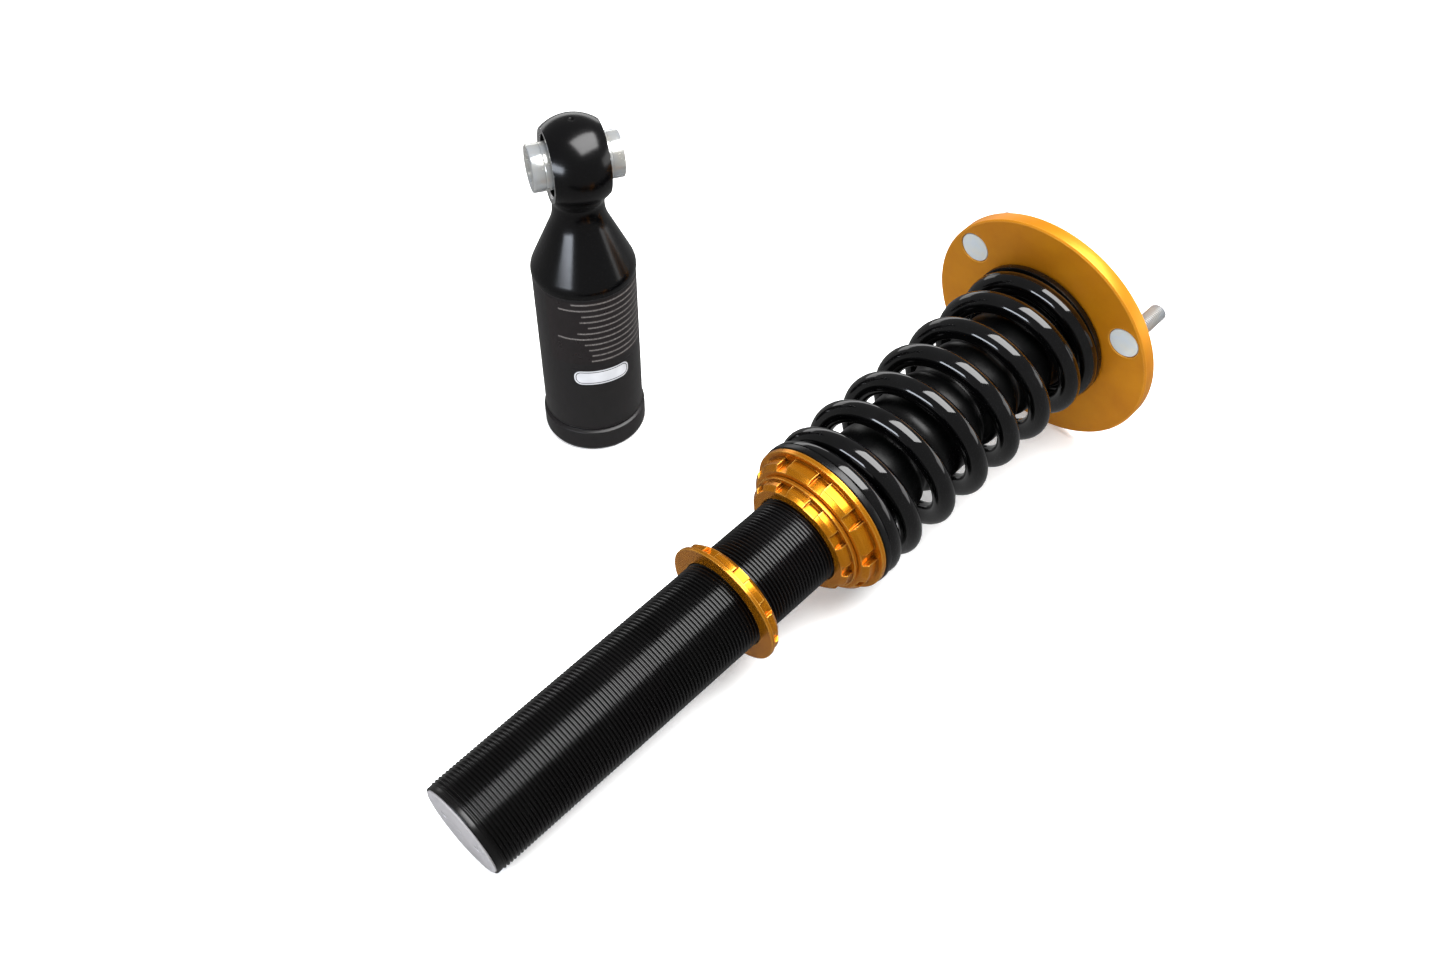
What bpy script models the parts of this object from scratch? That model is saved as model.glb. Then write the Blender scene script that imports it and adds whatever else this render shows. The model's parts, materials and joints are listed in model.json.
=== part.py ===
"""Coilover: an adjustable damper and spring lying on its side, with its unscrewed lower mount.

Metres, +Z up.  The damper axis lies in the X-Z plane.  It rises from the bare lower end of the
threaded tube to the round top plate, and it rests on the tube's lower edge and the plate's rim.
A station is a distance along that axis from the tube's lower face.  The lower mount stands
upright beside the spring, with its open threaded end down.  The origin is on the floor, at the
middle of the bounding box.
"""

import math

import bmesh
import bpy
from mathutils import Matrix, Vector

NAME = "coilover"
GAP = 0.0003                      # between pieces that touch on the real object

# Threaded damper tube
TUBE_R = 0.0250                   # M50 thread, measured over the crests
BORE_R = 0.0215
TUBE_END = 0.2680
TUBE_CHAMFER = 0.0010
CUFF_R = 0.0273
CAP_R = 0.0234                    # bare lower end face
CAP_FLANGE = 0.0054
CAP_LENGTH = 0.0180
PIN_HOLE_R = 0.0021
PIN_HOLE_RADIUS = 0.0120          # spanner holes from the axis

# Gold rings
RING_BORE = TUBE_R + GAP
RING_THICK = 0.0080
RING_LAND_R = 0.0327
RING_FLANGE_R = 0.0339
LOWER_RING = 0.1640
LOCK_RING = 0.2170
COLLAR_THICK = 0.0112
COLLAR_LAND_R = 0.0393
COLLAR_FLANGE_R = 0.0428
SLOTS = 10
SLOT_WIDTH = 0.0080
SLOT_DEPTH = 0.0024
LOWER_RING_TURN = -16.5           # degrees from straight up to the first slot
LOCK_RING_TURN = -19.0
COLLAR_TURN = -28.0

# Spring
COLLAR = LOCK_RING + RING_THICK + GAP
ISOLATOR = COLLAR + COLLAR_THICK + GAP
ISOLATOR_THICK = 0.0037
ISOLATOR_R = 0.0433
SPRING_START = ISOLATOR + ISOLATOR_THICK + GAP
SEAT = 0.4100                     # underside of the upper spring seat
SPRING_END = SEAT - GAP
COIL_R = 0.0372
WIRE_R = 0.0060
COIL_PITCH = 0.0264
COIL_ZERO = 0.2346                # station of the active helix at turn 0, level with -Y
DEAD_PITCH = 0.0122
TIP_DEPTH = 0.0028                # how far a ground tip's centre lies past its seat
FIRST_TURN = -0.60
LAST_TURN = 7.33
SPIGOT_R = 0.0306                 # ring that centres the spring at each end

# Top mount
PLATE = 0.4142
PLATE_R = 0.0700
PLATE_THICK = 0.0080
PLATE_CHAMFER = 0.0008
BOSS_R = 0.0270
BOSS_HEIGHT = 0.0098
STUD_CIRCLE_R = 0.0582
STUD_ANGLES = (-55.0, 65.0, 185.0)
STUD_HEAD_R = 0.0088
STUD_HEAD = 0.0048
STUD_R = 0.0049
STUD_END = 0.4470
BALL_R = 0.0135
BALL_HALF = 0.0082
BALL_STATION = 0.4222

# Rod and valve
ROD_R = 0.00625
ROD_TOP_R = 0.0050
ROD_FOOT_R = 0.0040
ROD_FOOT = 0.2030
ROD_STEP = 0.2380
ROD_SHOULDER = 0.4077
ROD_END = 0.4500
ROD_BORE_R = 0.0022
ON_ROD_R = ROD_R + GAP
ON_FOOT_R = ROD_FOOT_R + GAP
ON_TOP_R = ROD_TOP_R + GAP
KNOB = 0.4460
KNOB_END = 0.4580
KNOB_R = 0.0080

# Boot, from its cuff on the tube to the seat
BOOT = 0.2620
BOOT_END = 0.4076
BOOT_WALL = 0.0016

# Lower mount
MOUNT_ACROSS = 0.1786             # from the damper axis to the upright axis, along Y
MOUNT_ALONG = 0.2339              # from the tube's lower face, along X
FOOT_R = 0.0295
BODY_R = 0.0283
NECK_R = 0.0138
SOCKET_R = 0.0254
SOCKET_DEPTH = 0.0980
EYE_HEIGHT = 0.1788
EYE_R = 0.0242
EYE_HALF = 0.0148
EYE_BORE_R = 0.0160
EYE_TURN = -26.4                  # degrees about +Z from +X to the eye's own axis
EYE_BALL_R = 0.0130
SLEEVE_R = 0.0126
SLEEVE_END = 0.0238
SLEEVE_BORE_R = 0.0062

# Where the axes stand
TUBE_EDGE = 0.0034                 # station of the tube's edge that touches the floor
TILT = math.atan2(PLATE_R - TUBE_R, PLATE + PLATE_CHAMFER - TUBE_EDGE)
COS, SIN = math.cos(TILT), math.sin(TILT)
LOW_X = -CAP_R * SIN
HIGH_X = KNOB_END * COS + KNOB_R * SIN
LOW_Y = -PLATE_R
HIGH_Y = MOUNT_ACROSS + FOOT_R
ORIGIN = Vector((-(LOW_X + HIGH_X) / 2, -(LOW_Y + HIGH_Y) / 2, TUBE_R * COS - TUBE_EDGE * SIN))
# Columns: local X points up, local Y to -Y, local Z along the damper
DAMPER = Matrix.Translation(ORIGIN) @ Matrix((
    (-SIN, 0.0, COS, 0.0), (0.0, -1.0, 0.0, 0.0), (COS, 0.0, SIN, 0.0), (0.0, 0.0, 0.0, 1.0)))
UPRIGHT = Matrix.Translation((ORIGIN.x + MOUNT_ALONG, ORIGIN.y + MOUNT_ACROSS, 0.0))
EYE = (UPRIGHT @ Matrix.Translation((0.0, 0.0, EYE_HEIGHT))
       @ Matrix.Rotation(math.radians(EYE_TURN), 4, "Z")
       @ Matrix.Rotation(math.radians(90.0), 4, "Y"))

COLOURS = {
    "tube_black": ((0.015, 0.015, 0.016), 0.6, 0.45),
    "gold": ((0.83, 0.50, 0.08), 1.0, 0.28),
    "spring_black": ((0.008, 0.008, 0.009), 0.0, 0.08),
    "rubber": ((0.020, 0.020, 0.021), 0.0, 0.75),
    "mount_black": ((0.012, 0.012, 0.013), 0.5, 0.30),
    "zinc": ((0.78, 0.79, 0.80), 1.0, 0.22),
    "steel": ((0.60, 0.61, 0.62), 1.0, 0.30),
    "bare_aluminium": ((0.80, 0.80, 0.79), 1.0, 0.40),
    "foam": ((0.85, 0.72, 0.25), 0.0, 0.90),
    "brass": ((0.75, 0.58, 0.25), 1.0, 0.30),
}


def reset():
    for thing in list(bpy.data.objects):
        bpy.data.objects.remove(thing, do_unlink=True)
    for group in list(bpy.data.collections):
        bpy.data.collections.remove(group)


def collection(name, cutters=False):
    group = bpy.data.collections.new(name)
    bpy.context.scene.collection.children.link(group)
    group.hide_render = cutters
    return group


def material(slot):
    found = bpy.data.materials.get(slot)
    if found:
        return found
    colour, metallic, roughness = COLOURS[slot]
    made = bpy.data.materials.new(slot)
    made.use_nodes = True
    shader = made.node_tree.nodes["Principled BSDF"]
    shader.inputs["Base Color"].default_value = (*colour, 1.0)
    shader.inputs["Metallic"].default_value = metallic
    shader.inputs["Roughness"].default_value = roughness
    return made


def place(name, mesh, slot, frame, group):
    made = bpy.data.objects.new(name, mesh)
    made.matrix_world = frame
    group.objects.link(made)
    if slot:
        own = material(slot).copy()
        own.name = name
        mesh.materials.append(own)
    return made


def profile_mesh(name, profile):
    """Edges of a lathe profile; it closes on itself unless it starts and ends on the axis."""
    mesh = bpy.data.meshes.new(name)
    edges = [(i, i + 1) for i in range(len(profile) - 1)]
    if profile[0][0] > 0:
        edges.append((len(profile) - 1, 0))
    mesh.from_pydata([(r, 0.0, z) for r, z in profile], edges, [])
    return mesh


def lathe(name, profile, slot, frame=DAMPER, segments=36, group=None):
    """Turn (radius, station) points about local Z; the outer side runs from high to low."""
    made = place(name, profile_mesh(name, profile), slot, frame, group or PARTS)
    screw = made.modifiers.new("turn", "SCREW")
    screw.axis = "Z"
    screw.angle = math.tau
    screw.steps = screw.render_steps = segments
    screw.use_merge_vertices = True
    screw.merge_threshold = 0.00001
    screw.use_smooth_shade = False
    return made


def ring(name, outer, inner, low, high, slot, frame=DAMPER, segments=24):
    return lathe(name, [(outer, high), (outer, low), (inner, low), (inner, high)], slot, frame, segments)


def cutter(name, mesh, frame):
    made = place(name, mesh, None, frame, CUTTERS)
    made.display_type = "WIRE"
    made.hide_render = True
    return made


def cut(target, tool):
    boolean = target.modifiers.new(tool.name, "BOOLEAN")
    boolean.operation = "DIFFERENCE"
    boolean.solver = "EXACT"
    boolean.object = tool
    return target


def prism(name, places, radius, low, high, sides, frame=DAMPER, turn=0.0):
    """One cutter mesh of several prisms standing along local Z at (x, y) places."""
    work = bmesh.new()
    for x, y in places:
        at = Matrix.Translation((x, y, (low + high) / 2)) @ Matrix.Rotation(turn, 4, "Z")
        bmesh.ops.create_cone(work, cap_ends=True, segments=sides, radius1=radius, radius2=radius,
                              depth=high - low, matrix=at)
    mesh = bpy.data.meshes.new(name)
    work.to_mesh(mesh)
    work.free()
    return cutter(name, mesh, frame)


def boxes(name, frames, size):
    work = bmesh.new()
    for frame in frames:
        bmesh.ops.create_cube(work, size=1.0, matrix=frame @ Matrix.Diagonal((*size, 1.0)))
    mesh = bpy.data.meshes.new(name)
    work.to_mesh(mesh)
    work.free()
    return mesh


def slotted_ring(name, base, flip, thick, land_r, flange_r, turn):
    """A castellated ring: slots open on one side, and a thin flange closes them on the other.
    flip puts the flange on the side nearer the lower end."""
    flange = thick * 0.27
    lip = thick * 0.05
    rim = 0.0004
    outline = [
        (flange_r - rim, thick), (flange_r, thick - rim), (flange_r, thick - flange + rim),
        (flange_r - rim, thick - flange), (land_r, thick - flange - lip), (land_r, 0.0022),
        (land_r - 0.0020, 0.0), (RING_BORE, 0.0), (RING_BORE, thick)]
    if flip:
        outline = [(r, thick - z) for r, z in reversed(outline)]
    made = lathe(name, [(r, base + z) for r, z in outline], "gold", segments=36)
    reach = thick - flange - lip
    middle = base + (thick - reach / 2 + 0.0005 if flip else reach / 2 - 0.0005)
    floor_r = land_r - SLOT_DEPTH
    depth = 0.0080
    around = [Matrix.Rotation(math.radians(turn + 360.0 / SLOTS * i), 4, "Z")
              @ Matrix.Translation((floor_r + depth / 2, 0.0, middle)) for i in range(SLOTS)]
    tool = cutter(name + "_slots", boxes(name + "_slots", around, (depth, SLOT_WIDTH, reach + 0.001)), DAMPER)
    return cut(made, tool)


def wire_centre(turn):
    """Station of the wire's centre: an even helix between two closed, ground ends."""
    active = COIL_ZERO + COIL_PITCH * turn
    low = SPRING_START - TIP_DEPTH + DEAD_PITCH * (turn - FIRST_TURN)
    high = SPRING_END + TIP_DEPTH - DEAD_PITCH * (LAST_TURN - turn)
    soft = 0.0012
    rising = (active + low + math.hypot(active - low, soft)) / 2
    return (rising + high - math.hypot(rising - high, soft)) / 2


def spring(name, slot, steps=18, sides=6):
    work = bmesh.new()
    count = round((LAST_TURN - FIRST_TURN) * steps)
    loops = []
    for i in range(count + 1):
        turn = FIRST_TURN + (LAST_TURN - FIRST_TURN) * i / count
        angle = math.tau * (turn + 0.25)
        loop = []
        for k in range(sides):
            around = math.tau * (k + 0.5) / sides
            radius = COIL_R + WIRE_R * math.cos(around)
            station = wire_centre(turn) + WIRE_R * math.sin(around)
            station = min(max(station, SPRING_START), SPRING_END)
            loop.append(work.verts.new((radius * math.cos(angle), radius * math.sin(angle), station)))
        loops.append(loop)
    for one, two in zip(loops, loops[1:]):
        for k in range(sides):
            j = (k + 1) % sides
            work.faces.new((one[k], one[j], two[j], two[k]))
    work.faces.new(list(reversed(loops[0])))
    work.faces.new(loops[-1])
    bmesh.ops.remove_doubles(work, verts=work.verts, dist=0.00001)
    bmesh.ops.recalc_face_normals(work, faces=work.faces)
    mesh = bpy.data.meshes.new(name)
    work.to_mesh(mesh)
    work.free()
    return place(name, mesh, slot, DAMPER, PARTS)


def arc(radius, centre, half, points):
    """Points of a truncated ball's outline, from its high end to its low end."""
    lean = math.asin(half / radius)
    return [(radius * math.cos(lean - 2 * lean * i / points),
             centre + radius * math.sin(lean - 2 * lean * i / points)) for i in range(points + 1)]


def bearing(name_ball, name_race, ball_r, half, centre, bore, race_r, race_half, frame, slot):
    lathe(name_ball, arc(ball_r, centre, half, 4) + [(bore, centre - half), (bore, centre + half)],
          slot, frame, 24)
    inside = list(reversed(arc(ball_r + GAP, centre, race_half, 4)))
    lathe(name_race, [(race_r, centre + race_half), (race_r, centre - race_half)] + inside,
          "steel", frame, 28)


def circlip(name, outer, inner, low, high, frame, turn=0.0):
    made = ring(name, outer, inner, low, high, "steel", frame, 28)
    middle = (outer + inner) / 2
    at = Matrix.Rotation(turn, 4, "Z") @ Matrix.Translation((middle, 0.0, (low + high) / 2))
    tool = cutter(name + "_gap", boxes(name + "_gap", [at], (0.012, 0.008, 0.006)), frame)
    return cut(made, tool)


def damper_body():
    step = CAP_FLANGE + GAP
    lathe("damper_tube", [
        (TUBE_R, TUBE_END), (TUBE_R, TUBE_EDGE), (TUBE_R - TUBE_CHAMFER, 0.0006),
        (CAP_R + GAP, 0.0006), (CAP_R + GAP, step), (BORE_R, step), (BORE_R, TUBE_END)],
        "tube_black", segments=40)
    cap = lathe("base_cap", [
        (0.0, CAP_LENGTH), (BORE_R - GAP, CAP_LENGTH), (BORE_R - GAP, 0.0132),
        (0.0196, 0.0132), (0.0196, 0.0100), (BORE_R - GAP, 0.0100), (BORE_R - GAP, CAP_FLANGE),
        (CAP_R, CAP_FLANGE), (CAP_R, 0.0), (0.0, 0.0)], "bare_aluminium")
    cut(cap, prism("pin_holes", [(0.0, PIN_HOLE_RADIUS), (0.0, -PIN_HOLE_RADIUS)], PIN_HOLE_R,
                   -0.001, 0.0035, 12))
    ring("base_cap_o_ring", 0.0211, 0.0199, 0.0104, 0.0128, "rubber")
    gland = [
        (0.0247, 0.2740), (0.0247, TUBE_END + GAP), (BORE_R - GAP, TUBE_END + GAP),
        (BORE_R - GAP, 0.2550), (0.0196, 0.2550), (0.0196, 0.2520), (BORE_R - GAP, 0.2520),
        (BORE_R - GAP, 0.2465), (0.0083, 0.2465), (0.0083, 0.2623), (0.0108, 0.2623), (0.0108, 0.2740)]
    lathe("gland_nut", gland, "bare_aluminium", segments=24)
    ring("gland_o_ring", 0.0211, 0.0199, 0.2523, 0.2547, "rubber")
    ring("rod_guide_bush", 0.0080, ON_ROD_R, 0.2480, 0.2620, "brass", segments=24)
    ring("rod_seal", 0.0105, ON_ROD_R, 0.2626, 0.2674, "rubber", segments=24)
    lathe("wiper_seal", [(0.0078, 0.2760), (0.0082, 0.2728), (0.0105, 0.2728), (0.0105, 0.2677),
                         (ON_ROD_R, 0.2677), (ON_ROD_R, 0.2760)], "rubber", segments=24)


def floating_piston():
    lathe("floating_piston", [
        (0.0, 0.1120), (0.0208, 0.1120), (0.0208, 0.1055), (0.0189, 0.1055), (0.0189, 0.1025),
        (0.0208, 0.1025), (0.0208, 0.0960), (0.0160, 0.0960), (0.0150, 0.1060), (0.0, 0.1060)],
        "bare_aluminium", segments=24)
    ring("floating_piston_o_ring", 0.0211, 0.0192, 0.1028, 0.1052, "rubber")


def rod_and_valve():
    lathe("piston_rod", [
        (ROD_TOP_R - 0.0006, ROD_END), (ROD_TOP_R, ROD_END - 0.0006), (ROD_TOP_R, ROD_SHOULDER),
        (ROD_R, ROD_SHOULDER), (ROD_R, ROD_STEP), (ROD_FOOT_R, ROD_STEP), (ROD_FOOT_R, ROD_FOOT),
        (ROD_BORE_R, ROD_FOOT), (ROD_BORE_R, ROD_END)], "steel", segments=24)
    ring("top_out_bumper", 0.0110, ON_ROD_R, ROD_STEP + GAP, 0.2440, "rubber", segments=24)
    ring("valve_backing_washer", 0.0130, ON_FOOT_R, 0.2352, ROD_STEP - GAP, "steel", segments=24)
    ring("rebound_shims", 0.0145, ON_FOOT_R, 0.2326, 0.2349, "steel", segments=24)
    lathe("damping_piston", [
        (0.0208, 0.2323), (0.0208, 0.2293), (0.0199, 0.2293), (0.0199, 0.2207), (0.0208, 0.2207),
        (0.0208, 0.2180), (0.0170, 0.2180), (0.0160, 0.2200), (ON_FOOT_R, 0.2200), (ON_FOOT_R, 0.2323)],
        "bare_aluminium", segments=24)
    ring("piston_band", 0.0211, 0.0202, 0.2210, 0.2290, "brass")
    ring("compression_shims", 0.0150, ON_FOOT_R, 0.2174, 0.2197, "steel", segments=24)
    nut = hexagon("piston_nut", 0.0080, 0.2090, 0.2171, "steel")
    cut(nut, prism("piston_nut_hole", [(0.0, 0.0)], ON_FOOT_R, 0.200, 0.225, 24))
    lathe("bump_stop", [
        (0.0175, ROD_SHOULDER), (0.0175, 0.3960), (0.0140, 0.3925), (0.0172, 0.3875),
        (0.0172, 0.3815), (0.0135, 0.3775), (0.0158, 0.3725), (0.0125, 0.3620),
        (ON_ROD_R, 0.3620), (ON_ROD_R, ROD_SHOULDER)], "foam", segments=24)
    lathe("metering_needle", [
        (0.0, 0.4450), (0.0018, 0.4450), (0.0018, 0.2120), (0.0008, 0.2060), (0.0, 0.2060)],
        "brass", segments=16)


def hexagon(name, across_corners, low, high, slot):
    work = bmesh.new()
    at = Matrix.Translation((0.0, 0.0, (low + high) / 2))
    bmesh.ops.create_cone(work, cap_ends=True, segments=6, radius1=across_corners,
                          radius2=across_corners, depth=high - low, matrix=at)
    mesh = bpy.data.meshes.new(name)
    work.to_mesh(mesh)
    work.free()
    return place(name, mesh, slot, DAMPER, PARTS)


def boot():
    outer = [
        (0.0279, BOOT_END), (0.0279, 0.4000), (0.0255, 0.3940), (0.0283, 0.3860), (0.0283, 0.3725),
        (0.0255, 0.3646), (0.0283, 0.3570), (0.0283, 0.3430), (0.0255, 0.3350), (0.0283, 0.3270),
        (0.0283, 0.2970), (0.0228, 0.2880), (CUFF_R, 0.2762), (CUFF_R, BOOT)]
    inner = [(r - BOOT_WALL, z) for r, z in reversed(outer)]
    lathe("dust_boot", outer + inner, "rubber", segments=20)


def perch():
    slotted_ring("lower_lock_ring", LOWER_RING, True, RING_THICK, RING_LAND_R, RING_FLANGE_R,
                 LOWER_RING_TURN)
    slotted_ring("perch_lock_ring", LOCK_RING, False, RING_THICK, RING_LAND_R, RING_FLANGE_R,
                 LOCK_RING_TURN)
    slotted_ring("perch_collar", COLLAR, False, COLLAR_THICK, COLLAR_LAND_R, COLLAR_FLANGE_R,
                 COLLAR_TURN)
    top = ISOLATOR + ISOLATOR_THICK
    lathe("spring_isolator", [
        (SPIGOT_R, top + 0.0050), (SPIGOT_R, top), (ISOLATOR_R - 0.0006, top),
        (ISOLATOR_R, top - 0.0006), (ISOLATOR_R, ISOLATOR + 0.0006), (ISOLATOR_R - 0.0006, ISOLATOR),
        (RING_BORE + GAP, ISOLATOR), (RING_BORE + GAP, top + 0.0050)], "rubber")
    spring("coil_spring", "spring_black")


def top_mount():
    lathe("upper_spring_seat", [
        (0.0429, PLATE - 0.0006), (0.0429, SEAT), (SPIGOT_R, SEAT), (SPIGOT_R, 0.4025),
        (0.0284, 0.4025), (0.0284, 0.4080), (ON_TOP_R, 0.4080), (ON_TOP_R, PLATE - 0.0006)],
        "tube_black")
    bearing("top_ball", "top_bearing_race", BALL_R, BALL_HALF, BALL_STATION, ON_TOP_R,
            0.0190, 0.0059, DAMPER, "zinc")
    circlip("top_circlip", 0.0203, 0.0165, 0.4286, 0.4299, DAMPER)
    ring("rod_top_spacer", 0.0080, ON_TOP_R, 0.4307, 0.4347, "zinc", segments=24)
    nut = hexagon("rod_top_nut", 0.0098, 0.4350, 0.4430, "zinc")
    cut(nut, prism("rod_top_nut_hole", [(0.0, 0.0)], ON_TOP_R, 0.430, 0.448, 24))
    lathe("adjuster_knob", [
        (0.0, KNOB_END), (KNOB_R, KNOB_END), (KNOB_R, KNOB), (ON_TOP_R, KNOB),
        (ON_TOP_R, ROD_END + GAP), (0.0, ROD_END + GAP)], "bare_aluminium", segments=24)

    top, boss = PLATE + PLATE_THICK, PLATE + PLATE_THICK + BOSS_HEIGHT
    plate = lathe("top_plate", [
        (PLATE_R, top), (PLATE_R, PLATE + PLATE_CHAMFER), (PLATE_R - PLATE_CHAMFER, PLATE),
        (0.0175, PLATE), (0.0175, 0.4160), (0.0193, 0.4160), (0.0193, 0.4283), (0.0206, 0.4283),
        (0.0206, 0.4302), (0.0193, 0.4302), (0.0193, boss), (BOSS_R, boss), (BOSS_R, top)],
        "gold", segments=52)
    spots = [(STUD_CIRCLE_R * math.cos(math.radians(a)), STUD_CIRCLE_R * math.sin(math.radians(a)))
             for a in STUD_ANGLES]
    head = PLATE + STUD_HEAD + 2 * GAP
    cut(plate, prism("stud_counterbores", spots, STUD_HEAD_R + GAP, PLATE - 0.002, head, 16))
    cut(plate, prism("stud_holes", spots, STUD_R + GAP, head - 0.001, top + 0.002, 12))
    for i, (x, y) in enumerate(spots, 1):
        frame = DAMPER @ Matrix.Translation((x, y, 0.0))
        lathe(f"mounting_stud_{i}", [
            (0.0, STUD_END), (STUD_R - 0.0008, STUD_END), (STUD_R, STUD_END - 0.0008),
            (STUD_R, PLATE + STUD_HEAD), (STUD_HEAD_R, PLATE + STUD_HEAD), (STUD_HEAD_R, PLATE + 0.0002),
            (0.0, PLATE + 0.0002)], "zinc", frame, 16)


def lower_mount():
    crown = [(EYE_R * math.sin(math.radians(a)), EYE_HEIGHT + EYE_R * math.cos(math.radians(a)))
             for a in (16, 38, 60, 80, 100, 120, 132)]
    body = lathe("lower_mount_body", [
        (0.0, 0.2013), (0.0018, 0.2029)] + crown + [
        (0.0164, 0.1606), (NECK_R, 0.1576), (NECK_R, 0.1500), (0.0146, 0.1450),
        (0.0280, 0.1165), (0.0288, 0.1140), (BODY_R, 0.1105), (BODY_R, 0.0165), (0.0276, 0.0159),
        (0.0276, 0.0145), (FOOT_R, 0.0139), (FOOT_R, 0.0022), (0.0279, 0.0),
        (SOCKET_R, 0.0), (SOCKET_R, SOCKET_DEPTH), (0.0, SOCKET_DEPTH)], "mount_black", UPRIGHT, 32)
    turn = Matrix.Rotation(math.radians(EYE_TURN), 4, "Z")
    sides = [turn @ Matrix.Translation((side * (EYE_HALF + 0.010), 0.0, 0.1805)) for side in (-1, 1)]
    cut(body, cutter("eye_flats", boxes("eye_flats", sides, (0.020, 0.060, 0.052)), UPRIGHT))
    groove = EYE_BORE_R + 0.0012
    bore = [(0.0, 0.0200), (EYE_BORE_R, 0.0200)]
    for side in (1, -1):
        edge = [(EYE_BORE_R, 0.0088), (groove, 0.0088), (groove, 0.0071), (EYE_BORE_R, 0.0071)]
        bore += edge if side > 0 else [(r, -z) for r, z in reversed(edge)]
    bore += [(EYE_BORE_R, -0.0200), (0.0, -0.0200)]
    tool = lathe("eye_bore", bore, None, EYE, 28, CUTTERS)
    tool.display_type = "WIRE"
    tool.hide_render = True
    cut(body, tool)

    bearing("lower_ball", "lower_bearing_race", EYE_BALL_R, 0.0095, 0.0, 0.0080, EYE_BORE_R - GAP,
            0.0070, EYE, "zinc")
    for i, side in ((1, 1), (2, -1)):
        low, high = sorted((side * 0.0073, side * 0.0086))
        circlip(f"lower_circlip_{i}", EYE_BORE_R + 0.0009, 0.0135, low, high, EYE, math.pi)
        outline = [(SLEEVE_R - 0.0005, SLEEVE_END), (SLEEVE_R, SLEEVE_END - 0.0005),
                   (SLEEVE_R, 0.0130), (0.0086, 0.0098), (0.0077, 0.0098), (0.0077, 0.0002),
                   (SLEEVE_BORE_R, 0.0002), (SLEEVE_BORE_R, SLEEVE_END)]
        if side < 0:
            outline = [(r, -z) for r, z in reversed(outline)]
        lathe(f"lower_sleeve_{i}", outline, "zinc", EYE, 24)


reset()
PARTS = collection(NAME)
CUTTERS = collection(NAME + "_cutters", cutters=True)
damper_body()
floating_piston()
rod_and_valve()
boot()
perch()
top_mount()
lower_mount()
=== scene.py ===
import json
import math

import bmesh
import bpy
from mathutils import Matrix, Vector


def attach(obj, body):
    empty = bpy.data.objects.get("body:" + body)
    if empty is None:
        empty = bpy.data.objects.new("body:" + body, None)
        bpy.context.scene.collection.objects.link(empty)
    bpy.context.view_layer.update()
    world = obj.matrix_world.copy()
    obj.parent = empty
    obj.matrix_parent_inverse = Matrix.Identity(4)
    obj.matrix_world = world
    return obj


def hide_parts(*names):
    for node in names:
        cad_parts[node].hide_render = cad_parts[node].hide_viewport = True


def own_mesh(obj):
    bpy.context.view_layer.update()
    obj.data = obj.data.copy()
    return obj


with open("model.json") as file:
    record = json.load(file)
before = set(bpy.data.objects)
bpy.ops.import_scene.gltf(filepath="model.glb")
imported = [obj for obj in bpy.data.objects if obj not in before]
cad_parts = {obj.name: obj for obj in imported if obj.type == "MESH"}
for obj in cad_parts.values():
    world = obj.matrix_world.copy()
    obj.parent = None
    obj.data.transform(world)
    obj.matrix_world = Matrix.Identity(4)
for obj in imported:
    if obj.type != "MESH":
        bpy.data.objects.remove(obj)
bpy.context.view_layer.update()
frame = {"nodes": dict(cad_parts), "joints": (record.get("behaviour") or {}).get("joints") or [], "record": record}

MM = 0.001
WELD = 1e-6                             # vertices closer than this are one
FILLET = 0.25 * MM                      # rounding of a turned corner, unless a profile gives its own
HARD_EDGE = 32.0                        # degrees between two faces from which their edge stays hard

# ---------------------------------------------------------------- axes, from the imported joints
JOINTS = {joint["name"]: joint for joint in frame["joints"]}
AXIS = Vector(JOINTS["damper_stroke"]["axis"]).normalized()
BALL_STATION = 0.4222
BASE = Vector(JOINTS["top_swivel"]["pos_m"]) - AXIS * BALL_STATION
EYE_AXIS = Vector(JOINTS["sleeve_turn"]["axis"]).normalized()
EYE_AT = Vector(JOINTS["sleeve_turn"]["pos_m"])


def axes(x, y, z, at):
    made = Matrix((x, y, z)).transposed().to_4x4()
    made.translation = at
    return made


# Local Z runs along the damper and local X points up, so a station is a local z
DAMPER = axes(Vector((-AXIS.z, 0.0, AXIS.x)), Vector((0.0, -1.0, 0.0)), AXIS, BASE)
UPRIGHT = Matrix.Translation((EYE_AT.x, EYE_AT.y, 0.0))
EYE = axes(Vector((0.0, 0.0, -1.0)), EYE_AXIS.cross(Vector((0.0, 0.0, -1.0))), EYE_AXIS, EYE_AT)


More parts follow.
